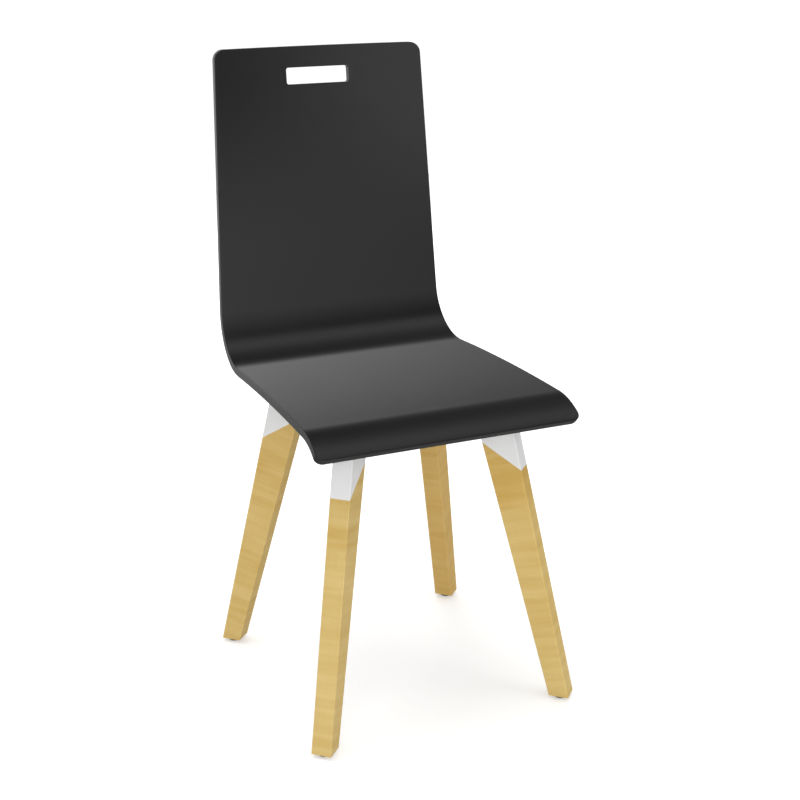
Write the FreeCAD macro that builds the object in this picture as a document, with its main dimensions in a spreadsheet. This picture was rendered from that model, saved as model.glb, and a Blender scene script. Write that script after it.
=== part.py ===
import FreeCAD, Part
import math
import operator
import os
import Sketcher

# Driving dimensions of the chair, in millimetres and degrees. The chair faces -Y and stands on Z = 0.
# The legs stand on the corners of a square; "ring" sizes are distances from the middle of that square.
dimensions = {
    # one moulded sheet: hollowed back, bend, gently crowned seat and down-turned nose
    "seat_height": 468.8,
    "back_height": 916.8,
    "back_hollow": 15.2,
    "flat_foot_length": 61.3811,
    "top_cut_angle": 2.9,
    "shell_thickness": 12,
    "seat_width": 381.5,
    "side_taper_angle": 2.82,
    "side_tilt_angle": 48.9,
    "back_lean_angle": 5.25,
    "bend_radius": 77.7,
    "crown_radius": 3082,
    "crown_peak_behind": 18.2,
    "seat_rear_angle": 2.22,
    "seat_front_angle": 3.05,
    "nose_radius": 86.5,
    "nose_end_angle": 45.7,
    "back_corner_radius": 16,
    "front_corner_radius": 11.5,
    "shell_arris": 1.2,
    "slot_width": 101.3,
    "slot_height": 24.6,
    "slot_drop": 42.6,
    "slot_corner_radius": 3.5,
    # square-section legs that splay along the diagonals and taper towards the foot
    "foot_spacing": 400,
    "foot_depth": 29.6,
    "leg_width": 29.5,
    "leg_outer_angle": 12.98,
    "leg_inner_angle": 15.98,
    "leg_arris": 1.2,
    # sheet-metal sockets at the leg tops, each over a wooden tenon
    "socket_height": 94.5,
    "socket_wall": 3,
    "seam_angle": 31.2,
    "tenon_gap": 12,
    "tenon_play": 0.25,
    # cross frame under the seat
    "frame_drop": 7.3,
    "arm_width": 25,
    "arm_height": 20,
    "arm_wall": 2,
    "hub_size": 50,
    "hub_wall": 3,
    "gusset_width": 92,
    "gusset_thickness": 3,
    "gusset_corner_radius": 8,
    # seat fixings, one per arm
    "bolt_ring": 104.6,
    "bolt_diameter": 6,
    "bolt_hole_play": 0.3,
    "bolt_head_diameter": 10.5,
    "bolt_head_height": 3.3,
    "bolt_hex_size": 4,
    "bolt_hex_depth": 2,
    "bolt_tip_gap": 1.8,
    "washer_diameter": 12.5,
    "washer_thickness": 1.6,
    "pad_diameter": 24,
    "pad_play": 0.1,
    "insert_diameter": 8.6,
    "insert_play": 0.2,
    "insert_roof": 2.5,
    # two screws per leg, side by side below the arm
    "screw_diameter": 4,
    "screw_length": 30,
    "screw_play": 0.3,
    "screw_head_diameter": 8,
    "screw_head_height": 2.4,
    "screw_spacing": 14,
    "screw_hex_size": 2.5,
    "screw_hex_depth": 1.4,
    # plastic glides under the feet
    "glide_diameter": 20,
    "glide_height": 5,
    "glide_edge": 1.4,
    "glide_recess_diameter": 9.2,
    "glide_recess_depth": 2.8,
    "glide_screw_diameter": 3.5,
    "glide_screw_length": 22,
    "glide_screw_head_diameter": 7.5,
    "glide_screw_head_height": 2,
    # how far a cut runs past the face that it leaves
    "overrun": 5,
}

# The legs, anticlockwise from above, with left and right as seen from in front.
leg_corners = ("rear_right", "rear_left", "front_left", "front_right")
leg_count = len(leg_corners)
hexagon_sides = 6
right_angle = 90
full_angle = 360
diagonal_angle = right_angle / 2


# The direction of a leg from the middle, about Z from +X.
def leg_angle(corner):
    return diagonal_angle + right_angle * leg_corners.index(corner)


doc = FreeCAD.newDocument("plywood_chair")
sheet = doc.addObject("Spreadsheet::Sheet", "sizes")
for row, (name, number) in enumerate(dimensions.items(), 1):
    sheet.set(f"A{row}", name)
    sheet.set(f"B{row}", str(number))
    sheet.setAlias(f"B{row}", name)
doc.recompute()


# A number together with the expression that works it out from the sheet.
class Size:
    def __init__(self, value, text):
        self.value = value
        self.text = text

    def __add__(self, other):
        return combine(self, "+", other)

    def __radd__(self, other):
        return combine(other, "+", self)

    def __sub__(self, other):
        return combine(self, "-", other)

    def __rsub__(self, other):
        return combine(other, "-", self)

    def __mul__(self, other):
        return combine(self, "*", other)

    def __rmul__(self, other):
        return combine(other, "*", self)

    def __truediv__(self, other):
        return combine(self, "/", other)

    def __rtruediv__(self, other):
        return combine(other, "/", self)

    def __neg__(self):
        return combine(0, "-", self)


operations = {"+": operator.add, "-": operator.sub, "*": operator.mul, "/": operator.truediv}


def as_size(number):
    return number if isinstance(number, Size) else Size(number, str(number))


def combine(first, sign, second):
    first = as_size(first)
    second = as_size(second)
    value = operations[sign](first.value, second.value)
    return Size(value, f"({first.text} {sign} {second.text})")


def size(name):
    return Size(float(sheet.get(name)), f"sizes.{name}")


def sine(angle):
    return Size(math.sin(math.radians(angle.value)), f"sin({angle.text})")


def cosine(angle):
    return Size(math.cos(math.radians(angle.value)), f"cos({angle.text})")


def tangent(angle):
    return Size(math.tan(math.radians(angle.value)), f"tan({angle.text})")


def root(number):
    return Size(math.sqrt(number.value), f"sqrt({number.text})")


# Bodies, sketches and features, each bound to the sheet.

x_direction = FreeCAD.Vector(1, 0, 0)
y_direction = FreeCAD.Vector(0, 1, 0)
z_direction = FreeCAD.Vector(0, 0, 1)
parts = []


def bind(owner, prop, amount):
    owner.setExpression(prop, as_size(amount).text)


def origin_part(body, role):
    for feature in body.Origin.OriginFeatures:
        if feature.Role == role:
            return feature
    raise ValueError(f"{body.Label} has no {role}")


# A body drawn about the middle of the leg square, turned about Z and then moved so that
# the middle of the whole chair lies over the origin.
def new_body(name, turn=0):
    body = doc.addObject("PartDesign::Body", name)
    body.Label = name
    body.AllowCompound = True
    body.Placement = FreeCAD.Placement(FreeCAD.Vector(0, 0, 0), FreeCAD.Rotation(z_direction, turn))
    bind(body, "Placement.Base.y", -chair_middle)
    parts.append(body)
    return body


# A sketch on an origin plane of its body, shifted and then turned about one of the plane's own axes.
def new_sketch(body, name, plane="XY_Plane", shift=(0, 0, 0), turn=0, axis=x_direction):
    sketch = body.newObject("Sketcher::SketchObject", name)
    sketch.AttachmentSupport = [(origin_part(body, plane), "")]
    sketch.MapMode = "FlatFace"
    place = FreeCAD.Vector(*[as_size(amount).value for amount in shift])
    sketch.AttachmentOffset = FreeCAD.Placement(place, FreeCAD.Rotation(axis, as_size(turn).value))
    for letter, amount in zip("xyz", shift):
        if isinstance(amount, Size):
            bind(sketch, f"AttachmentOffset.Base.{letter}", amount)
    if isinstance(turn, Size):
        bind(sketch, "AttachmentOffset.Rotation.Angle", turn)
    return sketch


def constrain(sketch, kind, places, amount):
    index = sketch.addConstraint(Sketcher.Constraint(kind, *places, amount.value))
    sketch.setExpression(f"Constraints[{index}]", amount.text)


# Holds one end of a curve at its place from the sketch's origin, or in line with it where that is zero.
def hold_point(sketch, curve_end, place):
    for kind, in_line, amount in zip(("DistanceX", "DistanceY"), ("Vertical", "Horizontal"), place):
        amount = as_size(amount)
        if abs(amount.value) < Part.Precision.confusion():
            sketch.addConstraint(Sketcher.Constraint(in_line, -1, 1, *curve_end))
        else:
            constrain(sketch, kind, (-1, 1, *curve_end), amount)


def as_vector(place):
    return FreeCAD.Vector(as_size(place[0]).value, as_size(place[1]).value, 0)


# The middle of an arc that runs anticlockwise from start to end.
def arc_middle(start, end, radius):
    chord = end - start
    half = chord.Length / 2
    rise = radius - math.sqrt(radius * radius - half * half)
    outward = FreeCAD.Vector(chord.y, -chord.x, 0) / chord.Length
    return (start + end) / 2 + outward * rise


# A closed outline. Each corner is (across, up), or (across, up, radius, bend) where an arc leaves it:
# the bend is "left" or "right", as the way along the outline turns there.
def outline(sketch, corners):
    curves = []
    for index, corner in enumerate(corners):
        start = as_vector(corner)
        end = as_vector(corners[(index + 1) % len(corners)])
        first, last = 1, 2
        if len(corner) > 2 and corner[3] == "right":
            start, end = end, start
            first, last = 2, 1
        if len(corner) > 2:
            curve = sketch.addGeometry(Part.Arc(start, arc_middle(start, end, corner[2].value), end))
        else:
            curve = sketch.addGeometry(Part.LineSegment(start, end))
        curves.append((curve, first, last))
    for index, (curve, first, last) in enumerate(curves):
        before = curves[index - 1]
        sketch.addConstraint(Sketcher.Constraint("Coincident", before[0], before[2], curve, first))
        hold_point(sketch, (curve, first), corners[index][:2])
    for corner, (curve, first, last) in zip(corners, curves):
        if len(corner) > 2:
            constrain(sketch, "Radius", (curve,), corner[2])


def rectangle(sketch, width, height):
    across = width / 2
    up = height / 2
    outline(sketch, [(-across, -up), (across, -up), (across, up), (-across, up)])


def circle(sketch, diameter, place=(0, 0)):
    curve = sketch.addGeometry(Part.Circle(as_vector(place), z_direction, diameter.value / 2))
    hold_point(sketch, (curve, 3), place)
    constrain(sketch, "Diameter", (curve,), diameter)


def hexagon(sketch, across_flats, place=(0, 0)):
    corner_radius = across_flats / root(as_size(3))
    corners = []
    for index in range(hexagon_sides):
        angle = as_size(full_angle * index / hexagon_sides)
        corners.append((place[0] + corner_radius * cosine(angle), place[1] + corner_radius * sine(angle)))
    outline(sketch, corners)


def pad(body, name, sketch, length, downward=False, both_ways=False):
    feature = body.newObject("PartDesign::Pad", name)
    feature.Profile = sketch
    feature.SideType = "Symmetric" if both_ways else "One side"
    feature.Reversed = downward
    bind(feature, "Length", length)
    return finish_feature(body, feature)


# A pocket runs against the sketch's normal unless it is turned round; it must take material away.
def pocket(body, name, sketch, length=None, upward=False, both_ways=False):
    solid_before = body.Tip.Shape.Volume
    feature = body.newObject("PartDesign::Pocket", name)
    feature.Profile = sketch
    feature.SideType = "Symmetric" if both_ways else "One side"
    feature.Reversed = upward
    if length is None:
        feature.Type = "ThroughAll"
    else:
        bind(feature, "Length", length)
    finish_feature(body, feature)
    if feature.Shape.Volume >= solid_before:
        raise ValueError(f"{body.Label}: {name} cuts nothing")
    return feature


def fillet(body, name, choose, radius):
    base = body.Tip
    names = [f"Edge{index}" for index, edge in enumerate(base.Shape.Edges, 1) if choose(base.Shape, edge)]
    feature = body.newObject("PartDesign::Fillet", name)
    feature.Base = (base, names)
    bind(feature, "Radius", radius)
    return finish_feature(body, feature)


def repeat_round(body, name, originals, count):
    feature = body.newObject("PartDesign::PolarPattern", name)
    feature.Originals = originals
    feature.Axis = (origin_part(body, "Z_Axis"), [""])
    feature.Angle = full_angle
    feature.Occurrences = count
    return finish_feature(body, feature)


def mirror_across(body, name, originals):
    feature = body.newObject("PartDesign::Mirrored", name)
    feature.Originals = originals
    feature.MirrorPlane = (origin_part(body, "YZ_Plane"), [""])
    return finish_feature(body, feature)


def finish_feature(body, feature):
    body.Tip = feature
    doc.recompute()
    return feature


# Edges that a fillet rounds, found by their shape.

def edge_middle(edge):
    return edge.valueAt((edge.FirstParameter + edge.LastParameter) / 2)


def is_straight(edge):
    return isinstance(edge.Curve, Part.Line)


def direction(edge):
    return (edge.valueAt(edge.LastParameter) - edge.valueAt(edge.FirstParameter)).normalize()


# True where two faces meet at more than 30 degrees, as at the rim of a sheet.
def is_sharp(shape, edge):
    normals = []
    for face in shape.ancestorsOfType(edge, Part.Face):
        across, along = face.Surface.parameter(edge_middle(edge))
        normals.append(face.normalAt(across, along))
    return len(normals) == 2 and math.degrees(normals[0].getAngle(normals[1])) > 30


# True for a sharp edge that runs through the sheet, at one of its unrounded corners.
def is_sheet_corner(shape, edge):
    through = abs(edge.Length - thickness.value) < thickness.value / 4
    return is_straight(edge) and through and is_sharp(shape, edge)


def is_steep(shape, edge):
    return is_straight(edge) and abs(direction(edge).z) > math.cos(math.radians(30))


def is_upright(shape, edge):
    return is_straight(edge) and abs(direction(edge).z) > math.cos(math.radians(1))


# The moulded shell's side view, worked out in the Y-Z plane.
# The crown is an arc about a point far below its peak; the bend and the nose are arcs tangent to it.

thickness = size("shell_thickness")
seat_height = size("seat_height")
back_height = size("back_height")
back_lean_angle = size("back_lean_angle")
bend_radius = size("bend_radius")
crown_radius = size("crown_radius")
nose_radius = size("nose_radius")
seat_rear_angle = size("seat_rear_angle")
seat_front_angle = size("seat_front_angle")
nose_end_angle = size("nose_end_angle")
crown_centre = (size("crown_peak_behind"), seat_height - crown_radius)


# A point at a radius from a centre, at an angle from straight up towards the back.
def swing(centre, radius, angle):
    return centre[0] + radius * sine(angle), centre[1] + radius * cosine(angle)


bend_centre = swing(crown_centre, crown_radius + bend_radius, seat_rear_angle)
nose_centre = swing(crown_centre, crown_radius - nose_radius, -seat_front_angle)


# The end of the bend, where the flat back begins, on the face at this radius.
def back_foot(radius):
    return bend_centre[0] + radius * cosine(back_lean_angle), bend_centre[1] - radius * sine(back_lean_angle)


front_foot = back_foot(bend_radius)
rear_foot = back_foot(bend_radius + thickness)
top_front = (front_foot[0] + (back_height - front_foot[1]) * tangent(back_lean_angle), back_height)
# the hollow runs from the top edge down to a flat stretch above the bend
hollow_length = (back_height - front_foot[1]) / cosine(back_lean_angle) - size("flat_foot_length")
back_hollow = size("back_hollow")


# A place on the back: down from the top edge, and in from the plane that holds the edges of its face.
def back_place(down, depth=0):
    return (
        top_front[0] - down * sine(back_lean_angle) + depth * cosine(back_lean_angle),
        top_front[1] - down * cosine(back_lean_angle) - depth * sine(back_lean_angle),
    )


# The back's top face is cut a little nearer to level than square: how far down it meets a place this deep.
def top_cut(depth):
    return -(depth * tangent(size("top_cut_angle")))


# Half the sheet's width, on the flat sides that draw in towards the top of the back.
def side_reach(place):
    tilt = size("side_tilt_angle")
    along = place[0] * cosine(tilt) + (place[1] - seat_height) * sine(tilt)
    return size("seat_width") / 2 - along * tangent(size("side_taper_angle"))


# Height of the crown's upper face, or of a face that lies deeper in the sheet, at a place along Y.
def crown_height(place, depth=0):
    radius = crown_radius - depth
    behind = place - crown_centre[0]
    return crown_centre[1] + root(radius * radius - behind * behind)


# The legs, in the plane that holds a diagonal: distance from the middle, then height.

foot_height = size("glide_height")
leg_width = size("leg_width")
foot_depth = size("foot_depth")
outer_slope = tangent(size("leg_outer_angle"))
inner_slope = tangent(size("leg_inner_angle"))
seam_slope = tangent(size("seam_angle"))
socket_wall = size("socket_wall")
overrun = size("overrun")
foot_reach = size("foot_spacing") / root(as_size(2))
frame_top = seat_height - thickness - size("frame_drop")
seam_height = frame_top - size("socket_height")


def outer_face(height, inset=0):
    return foot_reach - (height - foot_height) * outer_slope - inset / cosine(size("leg_outer_angle"))


def inner_face(height, inset=0):
    away = foot_reach - foot_depth - (height - foot_height) * inner_slope
    return away + inset / cosine(size("leg_inner_angle"))


# Where the seam between wood and metal crosses the outer face, or a line inset from it.
def seam_outside(inset=0):
    back = inset / cosine(size("leg_outer_angle"))
    height = seam_height + back * seam_slope / (1 - outer_slope * seam_slope)
    return outer_face(height, inset), height


# The same at the inner face.
def seam_inside(inset=0):
    depth = outer_face(seam_height) - inner_face(seam_height, inset)
    height = seam_height + depth * seam_slope / (1 - inner_slope * seam_slope)
    return inner_face(height, inset), height


arm_bottom = frame_top - size("arm_height")
screw_height = (seam_inside()[1] + arm_bottom) / 2
screw_angle = -(right_angle + size("leg_inner_angle"))
foot_middle = foot_reach - foot_depth / 2
bolt_ring = size("bolt_ring")
bolt_side = bolt_ring / root(as_size(2))
insert_bottom = seat_height - thickness
insert_top = crown_height(-bolt_side - size("insert_diameter") / 2) - size("insert_roof")

# The chair reaches from the rounded corners of the front feet to the middle of the back's top edge.
leg_arris = size("leg_arris")
front_reach = (foot_reach + leg_width / 2 - 2 * leg_arris) / root(as_size(2)) + leg_arris
rear_depth = back_hollow + thickness
chair_middle = (back_place(top_cut(rear_depth) + size("shell_arris"), rear_depth)[0] - front_reach) / 2


# The hollowed part of the back, before its sides are trimmed. Both of its faces are smooth patches: a
# parabola across the sheet that eases in from the flat foot of the back, is deepest at the middle of the
# top edge, and has no depth where the trimmed sides will be.
def build_hollow_back(half_blank):
    foot_ratio = half_blank / side_reach(back_place(hollow_length))
    top_ratio = half_blank / side_reach(back_place(0))
    foot_bow = foot_ratio * foot_ratio
    top_bow = top_ratio * top_ratio
    # of the full hollow, what each row of poles has evenly and what it gains in the middle and loses at the sides
    pole_shares = ((0, 0), (0, 0), (1 / 2, foot_bow / 2), (1, foot_bow / 4 + 3 * top_bow / 4), (1, top_bow))
    last_row = len(pole_shares) - 1
    patches = []
    for layer in (0, thickness):
        patch = Part.BezierSurface()
        patch.increase(2, last_row)
        for row, (even_share, bow) in enumerate(pole_shares):
            for column, side in enumerate((-1, 0, 1)):
                depth = back_hollow * (even_share + (bow if side == 0 else -bow)) + layer
                down = top_cut(depth) if row == last_row else hollow_length * (1 - row / last_row)
                place = back_place(down, depth)
                pole = FreeCAD.Vector(side * half_blank.value, place[0].value, place[1].value)
                patch.setPole(column + 1, row + 1, pole)
        patches.append(patch)
    faces = [patch.toShape() for patch in patches]
    borders = [(patch.uIso(0), patch.vIso(1), patch.uIso(1), patch.vIso(0)) for patch in patches]
    for front, rear in zip(*borders):
        front, rear = front.toShape(), rear.toShape()
        ends = [Part.makeLine(*[border.Vertexes[end].Point for border in (front, rear)]) for end in (0, 1)]
        faces.append(Part.Face(Part.Wire(Part.sortEdges([front, ends[1], rear, ends[0]])[0])))
    skin = Part.Shell(faces)
    skin.sewShape()
    solid = Part.Solid(skin)
    if solid.Volume < 0:
        solid.reverse()
    blank = doc.addObject("Part::Feature", "hollow_back")
    blank.Shape = solid
    return blank


def build_seat_shell():
    body = new_body("seat_shell")
    seat_width = size("seat_width")
    taper = tangent(size("side_taper_angle"))
    half_blank = seat_width * (1 + 2 * taper) / 2
    body.BaseFeature = build_hollow_back(half_blank)
    doc.recompute()
    profile = new_sketch(body, "shell_profile", "YZ_Plane")
    outline(profile, [
        back_place(hollow_length),
        (*front_foot, bend_radius, "right"),
        (*swing(bend_centre, -bend_radius, seat_rear_angle), crown_radius, "left"),
        (*swing(nose_centre, nose_radius, -seat_front_angle), nose_radius, "left"),
        swing(nose_centre, nose_radius, -nose_end_angle),
        (*swing(nose_centre, nose_radius - thickness, -nose_end_angle), nose_radius - thickness, "right"),
        (*swing(nose_centre, nose_radius - thickness, -seat_front_angle), crown_radius - thickness, "right"),
        (*swing(bend_centre, -(bend_radius + thickness), seat_rear_angle), bend_radius + thickness, "left"),
        rear_foot,
        back_place(hollow_length, thickness),
    ])
    pad(body, "shell_sheet", profile, 2 * half_blank, both_ways=True)

    # two flat sides that draw in towards the top of the back
    low = -seat_width
    high = back_height - seat_height + seat_width
    sides = new_sketch(body, "side_trim", shift=(0, 0, seat_height), turn=size("side_tilt_angle"))
    for side in (-1, 1):
        outline(sides, [
            (side * (seat_width / 2 - low * taper), low),
            (side * seat_width, low),
            (side * seat_width, high),
            (side * (seat_width / 2 - high * taper), high),
        ])
    pocket(body, "side_taper", sides, both_ways=True)

    fillet(body, "back_corners",
           lambda shape, edge: is_sheet_corner(shape, edge) and edge_middle(edge).z > seat_height.value,
           size("back_corner_radius"))
    fillet(body, "front_corners", is_sheet_corner, size("front_corner_radius"))

    # the hand slot, square to the leaning back
    slot_place = (0, *back_place(size("slot_drop"), back_hollow))
    slot = new_sketch(body, "slot_outline", shift=slot_place, turn=right_angle - back_lean_angle)
    rectangle(slot, size("slot_width"), size("slot_height"))
    pocket(body, "hand_slot", slot, 2 * (thickness + overrun), both_ways=True)
    fillet(body, "slot_corners", is_sheet_corner, size("slot_corner_radius"))
    fillet(body, "sheet_arris", is_sharp, size("shell_arris"))

    # blind holes for the threaded inserts
    hole_top = insert_top + size("insert_play")
    hole = new_sketch(body, "insert_hole_outline", shift=(bolt_side, bolt_side, hole_top))
    circle(hole, size("insert_diameter") + 2 * size("insert_play"))
    hole_cut = pocket(body, "insert_hole", hole, thickness)
    repeat_round(body, "insert_holes", [hole_cut], leg_count)


# The two screws' places on the inner face of a leg, as circles of one diameter.
def screw_circles(body, name, diameter):
    place = (inner_face(screw_height), 0, screw_height)
    sketch = new_sketch(body, name, shift=place, turn=screw_angle, axis=y_direction)
    for side in (-1, 1):
        circle(sketch, diameter, (0, side * size("screw_spacing") / 2))
    return sketch


def build_leg(corner):
    body = new_body(f"{corner}_leg", leg_angle(corner))
    side_view = new_sketch(body, "leg_side_view", "XZ_Plane")
    outline(side_view, [
        (inner_face(foot_height), foot_height),
        (outer_face(foot_height), foot_height),
        seam_outside(),
        seam_inside(),
    ])
    pad(body, "leg_bar", side_view, leg_width, both_ways=True)
    fillet(body, "leg_arrises", is_steep, leg_arris)

    # the tenon stands on the sloping shoulder and fills the socket
    inset = socket_wall + size("tenon_play")
    tenon_top = frame_top - socket_wall - size("tenon_gap")
    tenon_view = new_sketch(body, "tenon_side_view", "XZ_Plane")
    outline(tenon_view, [
        seam_inside(inset),
        seam_outside(inset),
        (outer_face(tenon_top, inset), tenon_top),
        (inner_face(tenon_top, inset), tenon_top),
    ])
    pad(body, "tenon", tenon_view, leg_width - 2 * inset, both_ways=True)
    bore = size("screw_diameter") + 2 * size("screw_play")
    depth = size("screw_length") + size("screw_play")
    pocket(body, "screw_bores", screw_circles(body, "screw_bore_outlines", bore), depth)

    foot_hole = new_sketch(body, "foot_bore_outline", shift=(foot_middle, 0, foot_height))
    circle(foot_hole, size("glide_screw_diameter") + 2 * size("screw_play"))
    pocket(body, "foot_bore", foot_hole, size("glide_screw_length"), upward=True)


def build_socket(corner):
    body = new_body(f"{corner}_leg_socket", leg_angle(corner))
    side_view = new_sketch(body, "socket_side_view", "XZ_Plane")
    outline(side_view, [
        seam_inside(),
        seam_outside(),
        (outer_face(frame_top), frame_top),
        (inner_face(frame_top), frame_top),
    ])
    pad(body, "socket_block", side_view, leg_width, both_ways=True)
    fillet(body, "socket_arrises", is_steep, leg_arris)

    low = seam_height - overrun
    roof = frame_top - socket_wall
    cavity = new_sketch(body, "cavity_side_view", "XZ_Plane")
    outline(cavity, [
        (inner_face(low, socket_wall), low),
        (outer_face(low, socket_wall), low),
        (outer_face(roof, socket_wall), roof),
        (inner_face(roof, socket_wall), roof),
    ])
    pocket(body, "cavity", cavity, leg_width - 2 * socket_wall, both_ways=True)
    hole = size("screw_diameter") + 2 * size("screw_play")
    pocket(body, "screw_holes", screw_circles(body, "screw_hole_outlines", hole), socket_wall + overrun)


# A square tube along the diagonal, welded to the hub and mitred to the leaning socket.
def build_arm(corner):
    body = new_body(f"{corner}_frame_arm", leg_angle(corner))
    side_view = new_sketch(body, "arm_side_view", "XZ_Plane")
    outline(side_view, [
        (size("hub_size") / 2, arm_bottom),
        (inner_face(arm_bottom), arm_bottom),
        (inner_face(frame_top), frame_top),
        (size("hub_size") / 2, frame_top),
    ])
    pad(body, "arm_bar", side_view, size("arm_width"), both_ways=True)
    wall = size("arm_wall")
    section_height = frame_top - size("arm_height") / 2
    section = new_sketch(body, "arm_bore_outline", "YZ_Plane", shift=(0, section_height, 0))
    rectangle(section, size("arm_width") - 2 * wall, size("arm_height") - 2 * wall)
    pocket(body, "arm_bore", section, upward=True)
    hole = new_sketch(body, "bolt_hole_outline", shift=(bolt_ring, 0, frame_top + overrun))
    circle(hole, size("bolt_diameter") + 2 * size("bolt_hole_play"))
    pocket(body, "bolt_hole", hole, size("arm_height") + 2 * overrun)


def build_hub():
    body = new_body("frame_hub", diagonal_angle)
    outside = new_sketch(body, "hub_outline", shift=(0, 0, arm_bottom))
    rectangle(outside, size("hub_size"), size("hub_size"))
    pad(body, "hub_block", outside, size("arm_height"))
    inside_size = size("hub_size") - 2 * size("hub_wall")
    inside = new_sketch(body, "hub_bore_outline", shift=(0, 0, frame_top + overrun))
    rectangle(inside, inside_size, inside_size)
    pocket(body, "hub_bore", inside, size("arm_height") + 2 * overrun)


def build_gusset():
    body = new_body("hub_gusset", diagonal_angle)
    plate = new_sketch(body, "gusset_outline", shift=(0, 0, arm_bottom))
    rectangle(plate, size("gusset_width"), size("gusset_width"))
    pad(body, "gusset_plate", plate, size("gusset_thickness"), downward=True)
    fillet(body, "gusset_corners", is_upright, size("gusset_corner_radius"))


# Spacers between the level frame and the crowned seat: the front pair is shorter than the rear one.
def build_seat_pads(name, place):
    body = new_body(name)
    side = 1 if place.value > 0 else -1
    pad_radius = size("pad_diameter") / 2
    pad_top = crown_height(place + side * pad_radius, thickness) - size("pad_play")
    ring = new_sketch(body, "pad_outline", shift=(bolt_side, place, frame_top))
    circle(ring, size("pad_diameter"))
    circle(ring, size("bolt_diameter") + 2 * size("bolt_hole_play"))
    disc = pad(body, "pad_ring", ring, pad_top - frame_top)
    mirror_across(body, "pad_pair", [disc])


def build_seat_bolts():
    body = new_body("seat_bolts", diagonal_angle)
    washer_face = arm_bottom - size("washer_thickness")
    shank_outline = new_sketch(body, "shank_outline", shift=(bolt_ring, 0, washer_face))
    circle(shank_outline, size("bolt_diameter"))
    shank = pad(body, "shank", shank_outline, insert_top - size("bolt_tip_gap") - washer_face)
    head_outline = new_sketch(body, "head_outline", shift=(bolt_ring, 0, washer_face))
    circle(head_outline, size("bolt_head_diameter"))
    head = pad(body, "head", head_outline, size("bolt_head_height"), downward=True)
    head_face = washer_face - size("bolt_head_height")
    key_outline = new_sketch(body, "key_outline", shift=(bolt_ring, 0, head_face))
    hexagon(key_outline, size("bolt_hex_size"))
    key = pocket(body, "key_recess", key_outline, size("bolt_hex_depth"), upward=True)
    repeat_round(body, "four_bolts", [shank, head, key], leg_count)


def build_seat_washers():
    body = new_body("seat_washers", diagonal_angle)
    ring = new_sketch(body, "washer_outline", shift=(bolt_ring, 0, arm_bottom))
    circle(ring, size("washer_diameter"))
    circle(ring, size("bolt_diameter") + 2 * size("bolt_hole_play"))
    washer = pad(body, "washer", ring, size("washer_thickness"), downward=True)
    repeat_round(body, "four_washers", [washer], leg_count)


def build_threaded_inserts():
    body = new_body("threaded_inserts", diagonal_angle)
    ring = new_sketch(body, "insert_outline", shift=(bolt_ring, 0, insert_bottom))
    circle(ring, size("insert_diameter"))
    circle(ring, size("bolt_diameter") + size("bolt_hole_play"))
    sleeve = pad(body, "sleeve", ring, insert_top - insert_bottom)
    repeat_round(body, "four_inserts", [sleeve], leg_count)


def build_leg_screws():
    body = new_body("leg_screws", diagonal_angle)
    shank = pad(body, "shanks", screw_circles(body, "shank_outlines", size("screw_diameter")),
                size("screw_length"), downward=True)
    head_circles = screw_circles(body, "head_outlines", size("screw_head_diameter"))
    head = pad(body, "heads", head_circles, size("screw_head_height"))
    lift = size("screw_head_height")
    lean = size("leg_inner_angle")
    face = (inner_face(screw_height) - lift * cosine(lean), 0, screw_height - lift * sine(lean))
    key_outlines = new_sketch(body, "key_outlines", shift=face, turn=screw_angle, axis=y_direction)
    for side in (-1, 1):
        hexagon(key_outlines, size("screw_hex_size"), (0, side * size("screw_spacing") / 2))
    key = pocket(body, "key_recesses", key_outlines, size("screw_hex_depth"))
    repeat_round(body, "eight_screws", [shank, head, key], leg_count)


def build_glide(corner):
    body = new_body(f"{corner}_glide", leg_angle(corner))
    disc = new_sketch(body, "glide_outline", shift=(foot_middle, 0, 0))
    circle(disc, size("glide_diameter"))
    pad(body, "glide_disc", disc, foot_height)
    fillet(body, "glide_edge",
           lambda shape, edge: abs(edge_middle(edge).z) < foot_height.value / 2 and not is_straight(edge),
           size("glide_edge"))
    recess = new_sketch(body, "recess_outline", shift=(foot_middle, 0, 0))
    circle(recess, size("glide_recess_diameter"))
    pocket(body, "head_recess", recess, size("glide_recess_depth"), upward=True)
    hole = new_sketch(body, "hole_outline", shift=(foot_middle, 0, 0))
    circle(hole, size("glide_screw_diameter") + 2 * size("screw_play"))
    pocket(body, "screw_hole", hole, foot_height + overrun, upward=True)


def build_glide_screws():
    body = new_body("glide_screws", diagonal_angle)
    seat = size("glide_recess_depth")
    tip = foot_height + size("glide_screw_length") - size("screw_play")
    shank_outline = new_sketch(body, "shank_outline", shift=(foot_middle, 0, seat))
    circle(shank_outline, size("glide_screw_diameter"))
    shank = pad(body, "shank", shank_outline, tip - seat)
    head_outline = new_sketch(body, "head_outline", shift=(foot_middle, 0, seat))
    circle(head_outline, size("glide_screw_head_diameter"))
    head = pad(body, "head", head_outline, size("glide_screw_head_height"), downward=True)
    repeat_round(body, "four_screws", [shank, head], leg_count)


build_seat_shell()
for leg_name in leg_corners:
    build_leg(leg_name)
    build_socket(leg_name)
    build_arm(leg_name)
    build_glide(leg_name)
build_hub()
build_gusset()
build_seat_pads("front_seat_pads", -bolt_side)
build_seat_pads("rear_seat_pads", bolt_side)
build_seat_bolts()
build_seat_washers()
build_threaded_inserts()
build_leg_screws()
build_glide_screws()

doc.recompute()
for item in doc.Objects:
    if {"Invalid", "Error"} & set(item.State):
        raise ValueError(f"{item.Label} failed: {item.getStatusString()}")
for part in parts:
    if part.Shape.isNull() or not part.Shape.isValid():
        raise ValueError(f"{part.Label} has no valid shape")

os.makedirs("parts", exist_ok=True)
for part in parts:
    part.Shape.exportStep(f"parts/{part.Label}.step")
    box = part.Shape.BoundBox
    print(f"{part.Label}: {len(part.Shape.Solids)} solids, {part.Shape.Volume / 1000:.2f} cm3, "
          f"Z {box.ZMin:.1f} to {box.ZMax:.1f}")
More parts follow.
